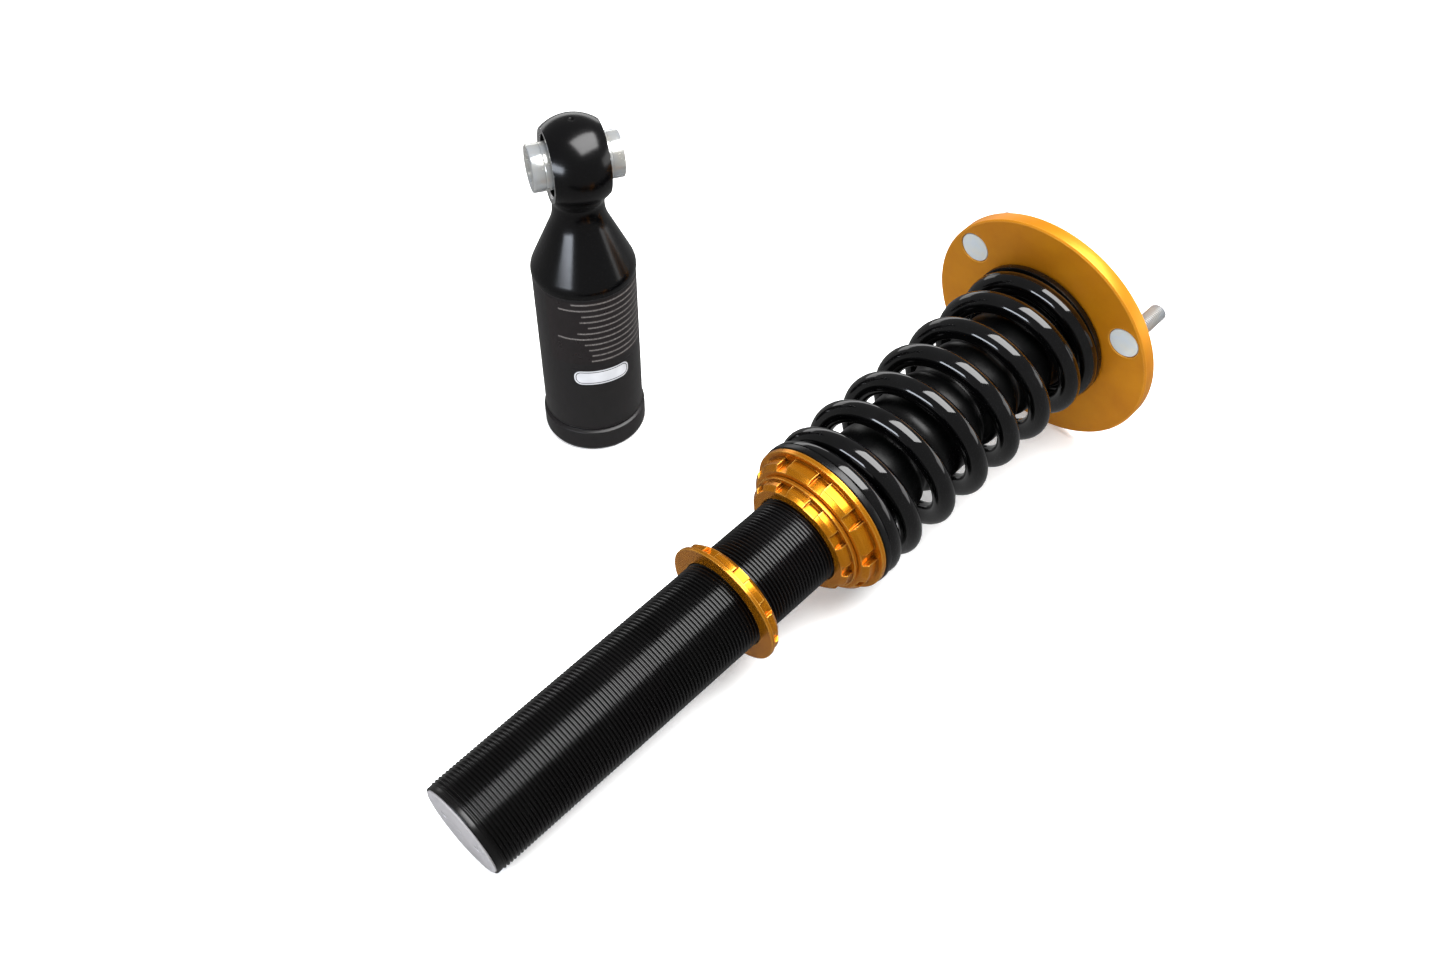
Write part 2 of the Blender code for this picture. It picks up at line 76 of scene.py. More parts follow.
# ---------------------------------------------------------------- materials
class Nodes:
    """A node material in the making. Coordinates are the piece's own, in metres."""

    def __init__(self, name, colour, metallic, roughness, **sockets):
        self.made = bpy.data.materials.new(name)
        self.made.use_nodes = True
        self.tree = self.made.node_tree
        self.shader = self.tree.nodes["Principled BSDF"]
        self.set(self.shader, "Base Color", (*colour, 1.0))
        self.set(self.shader, "Metallic", metallic)
        self.set(self.shader, "Roughness", roughness)
        for key, value in sockets.items():
            self.set(self.shader, key.replace("_", " "), value)
        self.where = self.tree.nodes.new("ShaderNodeTexCoord").outputs["Object"]

    def set(self, node, key, value):
        """Links an output, or sets a plain number."""
        if isinstance(value, bpy.types.NodeSocket):
            self.tree.links.new(value, node.inputs[key])
        else:
            node.inputs[key].default_value = value

    def node(self, kind, output=0, inputs=None, **settings):
        made = self.tree.nodes.new("ShaderNode" + kind)
        for key, value in settings.items():
            setattr(made, key, value)
        for key, value in (inputs or {}).items():
            self.set(made, key, value)
        return made.outputs[output]

    def math(self, operation, one, two=0.0):
        return self.node("Math", inputs={0: one, 1: two}, operation=operation)

    def span(self, value, low, high, to_low=0.0, to_high=1.0):
        return self.node("MapRange", inputs={"Value": value, "From Min": low, "From Max": high,
                                             "To Min": to_low, "To Max": to_high})

    def noise(self, scale, detail=3.0, where=None):
        return self.node("TexNoise", "Fac", {"Vector": where or self.where, "Scale": scale,
                                             "Detail": detail, "Roughness": 0.55})

    def split(self):
        apart = self.tree.nodes.new("ShaderNodeSeparateXYZ")
        self.tree.links.new(self.where, apart.inputs[0])
        return apart.outputs

    def turned(self):
        """Coordinates that only change across a lathe's feed marks: radius and station."""
        x, y, z = self.split()
        return self.node("CombineXYZ", inputs={"X": self.length(x, y), "Y": z, "Z": 0.0})

    def length(self, x, y):
        return self.math("SQRT", self.math("ADD", self.math("MULTIPLY", x, x), self.math("MULTIPLY", y, y)))

    def mix(self, factor, one, two):
        made = self.tree.nodes.new("ShaderNodeMix")
        made.data_type = "RGBA"
        self.set(made, 0, factor)
        self.set(made, 6, one if isinstance(one, bpy.types.NodeSocket) else (*one, 1.0))
        self.set(made, 7, two if isinstance(two, bpy.types.NodeSocket) else (*two, 1.0))
        return made.outputs[2]

    def bump(self, height, distance, strength=1.0, after=None):
        inputs = {"Height": height, "Distance": distance, "Strength": strength}
        if after:
            inputs["Normal"] = after
        return self.node("Bump", inputs=inputs)

    def finish(self, **links):
        for key, value in links.items():
            self.set(self.shader, key.replace("_", " "), value)
        return self.made


def turned_metal(name, colour, dark, roughness, feed=2500.0, depth=0.004 * MM, anisotropy=0.3,
                 edges=None, metallic=1.0):
    """Bare or anodised metal off a lathe: feed marks, a fine satin grain and uneven tone. edges is the
    painted shade colour of its inner corners and the painted highlight colour of its outer corners."""
    n = Nodes(name, colour, metallic, roughness, Anisotropic=anisotropy)
    marks = n.noise(feed, 2.0, n.turned())
    cloud = n.noise(45.0, 4.0)
    grain = n.noise(5200.0, 2.0)
    tone = n.mix(n.span(cloud, 0.35, 0.70), colour, dark)
    if edges:
        # Painted shade: ambient occlusion darkens the colour towards edges[0] in inner corners and recesses
        inner = n.node("AmbientOcclusion", "AO", {"Distance": 2.4 * MM}, samples=6, only_local=True)
        # Painted highlight: occlusion inside the solid brightens the colour towards edges[1] on outer corners
        outer = n.node("AmbientOcclusion", "AO", {"Distance": 0.8 * MM}, samples=6, only_local=True,
                       inside=True)
        tone = n.mix(n.span(inner, 0.45, 0.92), edges[0], tone)
        tone = n.mix(n.span(outer, 0.55, 0.97, 1.0, 0.0), tone, edges[1])
    rough = n.math("ADD", n.span(cloud, 0.3, 0.7, roughness - 0.03, roughness + 0.05),
                   n.span(marks, 0.3, 0.7, -0.03, 0.03))
    lines = n.bump(marks, depth)
    return n.finish(Base_Color=tone, Roughness=rough, Normal=n.bump(grain, 0.003 * MM, 0.6, lines))


def black_metal(name, colour, roughness, specular):
    """Black anodised aluminium: a dark dielectric skin over turned metal."""
    n = Nodes(name, colour, 0.0, roughness, Specular_IOR_Level=specular)
    marks = n.noise(1800.0, 2.0, n.turned())
    cloud = n.noise(60.0, 4.0)
    tone = n.mix(n.span(cloud, 0.3, 0.7), colour, tuple(c * 1.8 for c in colour))
    rough = n.math("ADD", n.span(cloud, 0.3, 0.7, roughness - 0.03, roughness + 0.04),
                   n.span(marks, 0.3, 0.7, -0.02, 0.03))
    return n.finish(Base_Color=tone, Roughness=rough, Normal=n.bump(marks, 0.002 * MM))


def two_finishes(name, low, high, change):
    """Black anodised aluminium, satin below a height and polished above it. low and high are each a
    colour and a roughness."""
    n = Nodes(name, high[0], 0.0, high[1], Specular_IOR_Level=0.42)
    marks = n.noise(1500.0, 2.0, n.turned())
    above = n.span(n.split()[2], change - 0.2 * MM, change + 0.2 * MM)
    tone = n.mix(above, low[0], high[0])
    rough = n.math("ADD", n.span(above, 0.0, 1.0, low[1], high[1]), n.span(marks, 0.3, 0.7, -0.02, 0.03))
    return n.finish(Base_Color=tone, Roughness=rough, Normal=n.bump(marks, 0.002 * MM))


def powder_coat(name):
    n = Nodes(name, (0.0010, 0.0010, 0.0011), 0.0, 0.07, Specular_IOR_Level=0.42,
              Coat_Weight=0.4, Coat_Roughness=0.03)
    peel = n.noise(420.0, 2.0)
    cloud = n.noise(70.0, 3.0)
    tone = n.mix(n.span(cloud, 0.35, 0.7), (0.0006, 0.0006, 0.0007), (0.0018, 0.0018, 0.0020))
    return n.finish(Base_Color=tone, Roughness=n.span(cloud, 0.3, 0.7, 0.05, 0.11),
                    Normal=n.bump(peel, 0.012 * MM, 0.7))


def moulded(name, colour, light, roughness, specular, grain=1600.0, depth=0.02 * MM):
    """Rubber, foam or nylon from a mould: a fine even texture with slight bloom."""
    n = Nodes(name, colour, 0.0, roughness, Specular_IOR_Level=specular)
    cloud = n.noise(55.0, 4.0)
    fine = n.noise(grain, 3.0)
    tone = n.mix(n.span(cloud, 0.35, 0.75), colour, light)
    rough = n.span(cloud, 0.3, 0.7, roughness - 0.05, roughness + 0.08)
    return n.finish(Base_Color=tone, Roughness=rough, Normal=n.bump(fine, depth, 0.6))


def plated(name, colour, roughness, feed=1500.0, depth=0.004 * MM, metallic=0.45):
    """Bright zinc plate over turned steel, with a faint blue and yellow cast."""
    n = Nodes(name, colour, metallic, roughness)
    marks = n.noise(feed, 2.0, n.turned())
    cloud = n.noise(90.0, 3.0)
    cool = tuple(c * k for c, k in zip(colour, (0.93, 0.98, 1.03)))
    warm = tuple(c * k for c, k in zip(colour, (1.02, 0.99, 0.90)))
    tone = n.mix(n.span(cloud, 0.35, 0.65), cool, warm)
    spots = n.span(n.noise(900.0, 3.0), 0.45, 0.75, 0.0, 0.12)
    rough = n.math("ADD", n.span(cloud, 0.3, 0.7, roughness - 0.04, roughness + 0.06), spots)
    return n.finish(Base_Color=tone, Roughness=rough, Normal=n.bump(marks, depth))


# A metallic value below 1 lets a metal pick up the pale floor's light as the real satin one does
# Painted shade colour for the gold's inner corners, and painted highlight colour for its outer corners
GOLD_SHADE_AND_HIGHLIGHT = ((0.15, 0.042, 0.003), (0.95, 0.50, 0.10))
GOLD = turned_metal("gold_anodised", (0.70, 0.255, 0.008), (0.56, 0.190, 0.005), 0.20, edges=GOLD_SHADE_AND_HIGHLIGHT,
                    metallic=0.82)
GOLD_PLATE = turned_metal("gold_plate_satin", (0.66, 0.250, 0.008), (0.58, 0.205, 0.006), 0.34, 3200.0,
                          0.003 * MM, 0.45, GOLD_SHADE_AND_HIGHLIGHT, 0.58)
BARE = turned_metal("bare_faced_aluminium", (0.50, 0.485, 0.49), (0.43, 0.415, 0.42), 0.40, 2200.0,
                    0.008 * MM, metallic=0.50)
MACHINED = turned_metal("machined_flat", (0.70, 0.70, 0.70), (0.58, 0.58, 0.58), 0.25, 1500.0, 0.006 * MM)
STEEL = turned_metal("ground_steel", (0.50, 0.51, 0.52), (0.40, 0.41, 0.42), 0.28, 3000.0, 0.003 * MM)
BRASS = turned_metal("machined_brass", (0.60, 0.42, 0.16), (0.50, 0.34, 0.12), 0.30)
TUBE = black_metal("tube_black", (0.0012, 0.0011, 0.0011), 0.22, 0.42)
SATIN_BLACK = (0.0085, 0.0075, 0.0078)
BODY = two_finishes("mount_black", (SATIN_BLACK, 0.34), ((0.0008, 0.0008, 0.0010), 0.19), 111.0 * MM)
SPRING = powder_coat("spring_gloss")
RUBBER = moulded("rubber_black", (0.0012, 0.0012, 0.0013), (0.0026, 0.0026, 0.0026), 0.31, 0.26)
NYLON = moulded("nylon_black", (0.0010, 0.0010, 0.0011), (0.0022, 0.0022, 0.0022), 0.26, 0.42, 2400.0,
                0.006 * MM)
FOAM = moulded("foam_yellow", (0.60, 0.44, 0.12), (0.70, 0.54, 0.18), 0.85, 0.2, 1200.0, 0.10 * MM)
ZINC = plated("zinc_plate", (0.56, 0.565, 0.57), 0.15, metallic=0.70)
STUD = plated("stud_head_zinc", (0.72, 0.74, 0.74), 0.32, 1900.0, 0.010 * MM)
# A darker copy of the stud's zinc for the thread past the plate: painted shade
STUD_THREAD_SHADED = plated("stud_thread_zinc_painted_shade", (0.34, 0.345, 0.35), 0.30, 1900.0, 0.006 * MM)


# ---------------------------------------------------------------- mesh tools
def piece(name, mesh, matrix, body, material, nodes, sharp=HARD_EDGE):
    """A finished piece: in place, smooth but for its hard edges, and riding on a body."""
    made = bpy.data.objects.new(name, mesh)
    bpy.context.scene.collection.objects.link(made)
    made.matrix_world = matrix
    for one in material if isinstance(material, (list, tuple)) else [material]:
        mesh.materials.append(one)
    mesh.shade_smooth()
    mesh.set_sharp_from_angle(angle=math.radians(sharp))
    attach(made, body)
    if nodes:
        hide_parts(*nodes)
    return made


def rounded(profile, fillet=FILLET, points=3):
    """Rounds each corner of a lathe profile. A third number on a point is its own fillet."""
    shortest, straight, share = 0.01 * MM, 0.9995, 0.45
    closed = profile[0][0] > 0
    out = []
    count = len(profile)
    for i, item in enumerate(profile):
        at = Vector(item[:2])
        own = item[2] if len(item) > 2 else fillet
        if not closed and i in (0, count - 1):
            out.append(tuple(at))
            continue
        before = Vector(profile[i - 1][:2]) - at
        after = Vector(profile[(i + 1) % count][:2]) - at
        reach = min(own, before.length * share, after.length * share)
        if reach < shortest or abs(before.normalized().dot(after.normalized())) > straight:
            out.append(tuple(at))
            continue
        one, two = at + before.normalized() * reach, at + after.normalized() * reach
        for k in range(points + 1):
            t = k / points
            out.append(tuple(one * (1 - t) ** 2 + at * 2 * t * (1 - t) + two * t ** 2))
    return out


def at_angle(r, angle, z):
    return r * math.cos(angle), r * math.sin(angle), z


def turn_into(work, profile, steps, closed=None):
    """Adds a lathe to a bmesh and returns its columns of vertices. The profile is closed unless it
    starts on the axis or closed says so."""
    if closed is None:
        closed = profile[0][0] > 0
    columns = []
    for i in range(steps):
        angle = math.tau * i / steps
        column = []
        for k, (r, z) in enumerate(profile):
            if r <= 1e-9 and i:
                column.append(columns[0][k])
            else:
                column.append(work.verts.new(at_angle(r, angle, z)))
        columns.append(column)
    for i in range(steps):
        one, two = columns[i], columns[(i + 1) % steps]
        for k in range(len(profile) if closed else len(profile) - 1):
            j = (k + 1) % len(profile)
            corners = []
            for v in (one[k], one[j], two[j], two[k]):
                if v not in corners:
                    corners.append(v)
            if len(corners) > 2:
                work.faces.new(corners)
    return columns


def strip_into(work, loops):
    """Joins each loop of vertices to the next."""
    for one, two in zip(loops, loops[1:]):
        for k in range(len(one)):
            j = (k + 1) % len(one)
            work.faces.new((one[k], one[j], two[j], two[k]))


def to_mesh(work, name):
    bmesh.ops.recalc_face_normals(work, faces=work.faces)
    mesh = bpy.data.meshes.new(name)
    work.to_mesh(mesh)
    work.free()
    return mesh


def lathe(name, profile, matrix, body, material, nodes, steps=128, fillet=FILLET, sharp=HARD_EDGE):
    work = bmesh.new()
    turn_into(work, rounded(profile, fillet), steps)
    return piece(name, to_mesh(work, name), matrix, body, material, nodes, sharp)


def helix_into(work, crest, depth, pitch, low, high, steps, inward):
    """Adds a screw thread, cut off square at two stations."""
    sign = 1.0 if inward else -1.0
    shape = ((0.00, 0.0), (0.17, 0.0), (0.52, depth), (0.65, depth))    # share of the pitch, and depth
    first = low - 2 * pitch
    turns = math.ceil((high - low) / pitch) + 4
    grid = []
    for j in range(turns * steps + 1):
        angle = math.tau * j / steps
        row = []
        for part, drop in shape:
            station = first + pitch * (j / steps + part)
            row.append(work.verts.new(at_angle(crest + sign * drop, angle, station)))
        grid.append(row)
    for j in range(turns * steps):
        for k in range(3):
            work.faces.new((grid[j][k], grid[j + 1][k], grid[j + 1][k + 1], grid[j][k + 1]))
        if j + steps + 1 < len(grid):
            work.faces.new((grid[j][3], grid[j + 1][3], grid[j + 1 + steps][0], grid[j + steps][0]))
    for station, outer in ((low, False), (high, True)):
        bmesh.ops.bisect_plane(
            work, geom=list(work.verts) + list(work.edges) + list(work.faces), dist=WELD,
            plane_co=(0, 0, station), plane_no=(0, 0, 1), clear_outer=outer, clear_inner=not outer)


def open_edges(work, station):
    return [e for e in work.edges
            if len(e.link_faces) == 1 and all(abs(v.co.z - station) < 2 * WELD for v in e.verts)]


def threaded(name, crest, depth, pitch, low, high, rest, matrix, body, material, nodes, steps,
             inward=False):
    """A piece with a real thread from low to high. rest is the profile that closes it, from the
    thread's high end round to its low end."""
    work = bmesh.new()
    helix_into(work, crest, depth, pitch, low, high, steps, inward)
    bottom, top = open_edges(work, low), open_edges(work, high)
    loose = [v for v in work.verts if not v.link_faces]
    profile = rounded([(0.0, 0.0)] + rest + [(0.0, 0.0)])[1:-1]
    columns = turn_into(work, profile, steps, closed=False)
    first = [work.edges.get((columns[i][0], columns[(i + 1) % steps][0])) for i in range(steps)]
    last = [work.edges.get((columns[i][-1], columns[(i + 1) % steps][-1])) for i in range(steps)]
    bmesh.ops.bridge_loops(work, edges=top + first)
    bmesh.ops.bridge_loops(work, edges=bottom + last)
    bmesh.ops.delete(work, geom=[v for v in loose if v.is_valid], context="VERTS")
    return piece(name, to_mesh(work, name), matrix, body, material, nodes, 25.0)


def break_edges(made, width, segments, angle):
    edge = made.modifiers.new("edges", "BEVEL")
    edge.width = width
    edge.segments = segments
    edge.limit_method = "ANGLE"
    edge.angle_limit = math.radians(angle)
    edge.harden_normals = True


def cut_by(made, tools):
    """Takes the tools' solids out of a piece."""
    for tool in tools:
        boolean = made.modifiers.new("cut", "BOOLEAN")
        boolean.operation = "DIFFERENCE"
        boolean.solver = "EXACT"
        boolean.object = tool
    depsgraph = bpy.context.evaluated_depsgraph_get()
    mesh = bpy.data.meshes.new_from_object(made.evaluated_get(depsgraph))
    made.modifiers.clear()
    made.data = mesh
    for tool in tools:
        bpy.data.objects.remove(tool, do_unlink=True)
    mesh.shade_smooth()
    mesh.set_sharp_from_angle(angle=math.radians(HARD_EDGE))


def tool(profile_or_mesh, matrix, steps=64):
    """A cutter: a lathe profile, or a mesh."""
    if isinstance(profile_or_mesh, list):
        work = bmesh.new()
        turn_into(work, profile_or_mesh, steps)
        mesh = to_mesh(work, "cutter")
    else:
        mesh = profile_or_mesh
    made = bpy.data.objects.new("cutter", mesh)
    bpy.context.scene.collection.objects.link(made)
    made.matrix_world = matrix
    return made


def box_mesh(size):
    work = bmesh.new()
    bmesh.ops.create_cube(work, size=1.0, matrix=Matrix.Diagonal((*size, 1.0)))
    return to_mesh(work, "cutter")


def along_damper(z, x=0.0, y=0.0):
    return DAMPER @ Matrix.Translation((x, y, z))


# ---------------------------------------------------------------- damper tube and base cap
TUBE_R, BORE_R, TUBE_END, CAP_R = 25.0 * MM, 21.5 * MM, 268.0 * MM, 23.4 * MM
THREAD_PITCH = 2.0 * MM
PIN_HOLE_R, PIN_HOLE_OUT = 2.1 * MM, 12.0 * MM
threaded("damper_tube_threaded", TUBE_R, 1.10 * MM, THREAD_PITCH, 4.2 * MM, TUBE_END - 1.5 * MM,
         [(24.15 * MM, TUBE_END - 1.2 * MM), (23.9 * MM, TUBE_END), (BORE_R, TUBE_END),
          (BORE_R, 5.7 * MM), (23.7 * MM, 5.7 * MM), (23.7 * MM, 0.6 * MM), (24.15 * MM, 0.6 * MM),
          (24.5 * MM, 1.0 * MM), (24.5 * MM, 3.6 * MM)],
         DAMPER, "damper_body", TUBE, ["damper_tube"], steps=112)

cap = lathe("base_cap_faced", [
    (0.0, 18.0 * MM), (21.2 * MM, 18.0 * MM), (21.2 * MM, 13.2 * MM), (19.6 * MM, 13.2 * MM),
    (19.6 * MM, 10.0 * MM), (21.2 * MM, 10.0 * MM), (21.2 * MM, 5.4 * MM), (CAP_R, 5.4 * MM),
    (CAP_R, 0.0, 0.5 * MM), (0.9 * MM, 0.0), (0.5 * MM, 0.35 * MM), (0.0, 0.35 * MM)],
    DAMPER, "damper_body", BARE, ["base_cap"])
pin_hole = [(0.0, 3.5 * MM), (PIN_HOLE_R, 3.5 * MM), (PIN_HOLE_R, 0.3 * MM),
            (PIN_HOLE_R + 0.5 * MM, -0.3 * MM), (0.0, -0.3 * MM)]
cut_by(cap, [tool(pin_hole, along_damper(0.0, y=side * PIN_HOLE_OUT), 32) for side in (1, -1)])


# ---------------------------------------------------------------- castellated rings
RING_BORE_R, SLOTS, SLOT_WIDTH = 25.3 * MM, 10, 8.0 * MM
LOWER_RING, LOCK_RING, COLLAR = 164.0 * MM, 217.0 * MM, 225.3 * MM


def castellated(name, node, base, flip, thick, land_r, flange_r, depth, turn, flange=0.27):
    """Slots open on one side, and a thin flange behind them. flip turns the ring over, and turn is
    where the first slot stands, in degrees."""
    lip = thick * (1.0 - flange)
    floor_r = land_r - depth
    chamfer = depth * 0.95
    behind = [(RING_BORE_R, thick), (flange_r, thick), (flange_r, lip)]
    front = [(floor_r, 0.0), (RING_BORE_R + 0.5 * MM, 0.0), (RING_BORE_R, 0.5 * MM)]
    land = behind + [(land_r, lip), (land_r, chamfer)] + front
    slot_cut = behind + [(floor_r, lip), (floor_r, chamfer)] + front
    half = math.asin(SLOT_WIDTH / 2 / land_r)
    pitch = math.tau / SLOTS
    work = bmesh.new()
    columns = []
    for i in range(SLOTS):
        middle = math.radians(turn) + pitch * i
        for profile, low, high, count in ((slot_cut, -half, half, 5), (land, half, pitch - half, 11)):
            for k in range(count + 1):
                columns.append((middle + low + (high - low) * k / count, profile))
    made = []
    for angle, profile in columns:
        made.append([work.verts.new(at_angle(r, angle, thick - z if flip else z)) for r, z in profile])
    count = len(columns)
    for i in range(count):
        j = (i + 1) % count
        one, two = made[i], made[j]
        if columns[i][1] is columns[j][1]:
            strip_into(work, [one, two])
        else:
            cut, full = (one, two) if columns[i][1] is slot_cut else (two, one)
            work.faces.new((full[3], full[4], full[5], cut[4], cut[3]))
    bmesh.ops.remove_doubles(work, verts=work.verts, dist=2 * WELD)
    ring = piece(name, to_mesh(work, name), along_damper(base), node, GOLD, [node])
    break_edges(ring, 0.34 * MM, 2, 25.0)


castellated("lower_ring_castellated", "lower_lock_ring", LOWER_RING, True, 8.0 * MM, 32.7 * MM, 33.9 * MM,
            2.3 * MM, -16.5)
castellated("lock_ring_castellated", "perch_lock_ring", LOCK_RING, False, 8.0 * MM, 32.7 * MM, 34.2 * MM,
            2.3 * MM, -19.0)
castellated("collar_castellated", "perch_collar", COLLAR, False, 11.2 * MM, 39.3 * MM, 42.8 * MM,
            2.6 * MM, -28.0, 0.25)

lathe("isolator_ring", [
    (30.6 * MM, 245.5 * MM), (30.6 * MM, 240.5 * MM), (43.3 * MM, 240.5 * MM, 0.9 * MM),
    (43.3 * MM, 236.8 * MM, 0.9 * MM), (25.6 * MM, 236.8 * MM), (25.6 * MM, 245.5 * MM)],
    DAMPER, "perch", NYLON, ["spring_isolator"])


# ---------------------------------------------------------------- spring
SPRING_LOW, SPRING_HIGH = 240.8 * MM, 409.7 * MM
WIRE_R, COIL_R = 6.0 * MM, 37.2 * MM
FIRST_TURN, LAST_TURN = -0.60, 7.33
COIL_ZERO = 234.6 * MM                  # station of the open coils' helix at turn 0
OPEN_PITCH, CLOSED_PITCH = 26.4 * MM, 12.2 * MM
TIP_DEPTH = 2.8 * MM                    # how far a ground tip's centre lies past its seat
PITCH_CHANGE = 1.2 * MM                 # how softly an open coil runs into a closed one


def wire_centre(turn):
    """Station of the wire's centre: an even helix between two closed, ground ends."""
    active = COIL_ZERO + OPEN_PITCH * turn
    low = SPRING_LOW - TIP_DEPTH + CLOSED_PITCH * (turn - FIRST_TURN)
    high = SPRING_HIGH + TIP_DEPTH - CLOSED_PITCH * (LAST_TURN - turn)
    rising = (active + low + math.hypot(active - low, PITCH_CHANGE)) / 2
    return (rising + high - math.hypot(rising - high, PITCH_CHANGE)) / 2


def spring(steps=72, sides=28):
    work = bmesh.new()
    count = round((LAST_TURN - FIRST_TURN) * steps)
    loops = []
    for i in range(count + 1):
        turn = FIRST_TURN + (LAST_TURN - FIRST_TURN) * i / count
        angle = math.tau * (turn + 0.25)
        loop = []
        for k in range(sides):
            around = math.tau * (k + 0.5) / sides
            radius = COIL_R + WIRE_R * math.cos(around)
            station = wire_centre(turn) + WIRE_R * math.sin(around)
            loop.append(work.verts.new(at_angle(radius, angle, min(max(station, SPRING_LOW), SPRING_HIGH))))
        loops.append(loop)
    strip_into(work, loops)
    work.faces.new(list(reversed(loops[0])))
    work.faces.new(loops[-1])
    bmesh.ops.remove_doubles(work, verts=work.verts, dist=WELD)
    made = piece("coil_spring_wound", to_mesh(work, "coil_spring_wound"), DAMPER, "perch", SPRING,
                 ["coil_spring"])
    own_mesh(made)


spring()


# ---------------------------------------------------------------- dust boot
BOOT_WALL = 1.5 * MM


def smooth(points, per):
    """A Catmull-Rom curve through lathe points."""
    out = []
    for i in range(len(points) - 1):
        p = [Vector(points[max(0, min(len(points) - 1, i + d))]) for d in (-1, 0, 1, 2)]
        for k in range(per):
            t = k / per
            out.append(tuple(0.5 * (2 * p[1] + (p[2] - p[0]) * t
                                    + (2 * p[0] - 5 * p[1] + 4 * p[2] - p[3]) * t * t
                                    + (3 * p[1] - p[0] - 3 * p[2] + p[3]) * t ** 3)))
    out.append(points[-1])
    return out


outer = [(r * MM, z * MM) for r, z in (
    (27.9, 407.6), (27.9, 404.0), (28.2, 399.5), (25.2, 393.8), (28.3, 388.0), (28.3, 379.5), (28.3, 371.0),
    (25.2, 364.6), (28.3, 358.5), (28.3, 350.0), (28.3, 341.5), (25.2, 335.0), (28.3, 328.5), (28.3, 318.0),
    (28.3, 305.5), (27.4, 298.0), (22.8, 290.5), (26.7, 283.5), (27.2, 278.0), (27.3, 272.0), (27.3, 262.0))]
outer = smooth(outer, 4)
wall = [(r - BOOT_WALL, z) for r, z in reversed(outer)]
boot = lathe("dust_boot_bellows", outer + wall, DAMPER, "rod", RUBBER, ["dust_boot"], 112, 0.0,
             50.0)
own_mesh(boot)


# ---------------------------------------------------------------- top mount
lathe("upper_seat_turned", [
    (42.9 * MM, 413.6 * MM, 0.6 * MM), (42.9 * MM, 410.0 * MM, 0.6 * MM), (30.6 * MM, 410.0 * MM),
    (30.6 * MM, 402.5 * MM, 0.8 * MM), (28.4 * MM, 402.5 * MM), (28.4 * MM, 408.0 * MM),
    (5.3 * MM, 408.0 * MM), (5.3 * MM, 413.6 * MM)], DAMPER, "rod", NYLON, ["upper_spring_seat"])

PLATE, PLATE_TOP, PLATE_BOSS, PLATE_R = 414.2 * MM, 422.2 * MM, 432.0 * MM, 70.0 * MM
STUD_R, STUD_PITCH, STUD_HEAD_R = 4.9 * MM, 1.25 * MM, 8.75 * MM
STUD_CIRCLE_R = 58.2 * MM
STUD_SPOTS = [at_angle(STUD_CIRCLE_R, math.radians(a), 0.0)[:2] for a in (-55.0, 65.0, 185.0)]
plate = lathe("top_plate_turned", [
    (PLATE_R, PLATE_TOP, 0.5 * MM), (PLATE_R, PLATE + 0.9 * MM, 0.12 * MM), (69.1 * MM, PLATE, 0.12 * MM),
    (17.5 * MM, PLATE), (17.5 * MM, 416.0 * MM), (19.3 * MM, 416.0 * MM), (19.3 * MM, 428.3 * MM),
    (20.6 * MM, 428.3 * MM), (20.6 * MM, 430.2 * MM), (19.3 * MM, 430.2 * MM), (19.3 * MM, PLATE_BOSS),
    (27.0 * MM, PLATE_BOSS, 0.8 * MM), (27.0 * MM, PLATE_TOP, 1.2 * MM)],
    DAMPER, "top_mount", GOLD_PLATE, ["top_plate"], steps=192)
holes = []
for x, y in STUD_SPOTS:
    holes.append(tool([(0.0, PLATE + 5.4 * MM), (9.1 * MM, PLATE + 5.4 * MM), (9.1 * MM, PLATE + 0.35 * MM),
                       (9.75 * MM, PLATE - 0.3 * MM), (0.0, PLATE - 0.3 * MM)], along_damper(0.0, x, y), 72))
    holes.append(tool([(0.0, PLATE_TOP + 1.0 * MM), (5.3 * MM, PLATE_TOP + 1.0 * MM),
                       (5.3 * MM, PLATE + 5.0 * MM), (0.0, PLATE + 5.0 * MM)], along_damper(0.0, x, y), 48))
cut_by(plate, holes)

for i, (x, y) in enumerate(STUD_SPOTS, 1):
    stud = threaded(
        f"stud_threaded_{i}", STUD_R, 0.62 * MM, STUD_PITCH, 424.0 * MM, 445.6 * MM,
        [(4.2 * MM, 445.8 * MM), (3.6 * MM, 446.9 * MM), (0.0, 446.9 * MM), (0.0, PLATE + 0.25 * MM),
         (STUD_HEAD_R, PLATE + 0.25 * MM, 0.4 * MM), (STUD_HEAD_R, PLATE + 4.8 * MM),
         (STUD_R, PLATE + 4.8 * MM), (STUD_R, 423.0 * MM), (4.3 * MM, 423.7 * MM)],
        along_damper(0.0, x, y), "top_mount", [STUD, STUD_THREAD_SHADED], [f"mounting_stud_{i}"], 48)
    # Faces past the plate take the darker zinc copy: painted shade
    for face in stud.data.polygons:
        face.material_index = int(face.center.z > PLATE_TOP)


def ball_arc(radius, centre, half, points=16):
    """Lathe points down the outside of a ball, from half above its centre to half below."""
    lean = math.asin(half / radius)
    angles = [lean - 2 * lean * i / points for i in range(points + 1)]
    return [(radius * math.cos(angle), centre + radius * math.sin(angle), 0.0) for angle in angles]


def bearing(tag, ball_r, half, centre, bore, race_r, race_half, matrix, ball_body, race_body):
    """A spherical bearing: a bored ball in its race."""
    outside = ball_arc(ball_r, centre, half)
    lathe(f"{tag}_ball_ground", outside + [(bore, centre - half), (bore, centre + half)],
          matrix, ball_body, ZINC, [f"{tag}_ball"], 96, 0.2 * MM, 40.0)
    inside = list(reversed(ball_arc(ball_r + 0.3 * MM, centre, race_half)))
    lathe(f"{tag}_race_ground", [(race_r, centre + race_half), (race_r, centre - race_half)] + inside,
          matrix, race_body, STEEL, [f"{tag}_bearing_race"], 96, 0.3 * MM, 40.0)


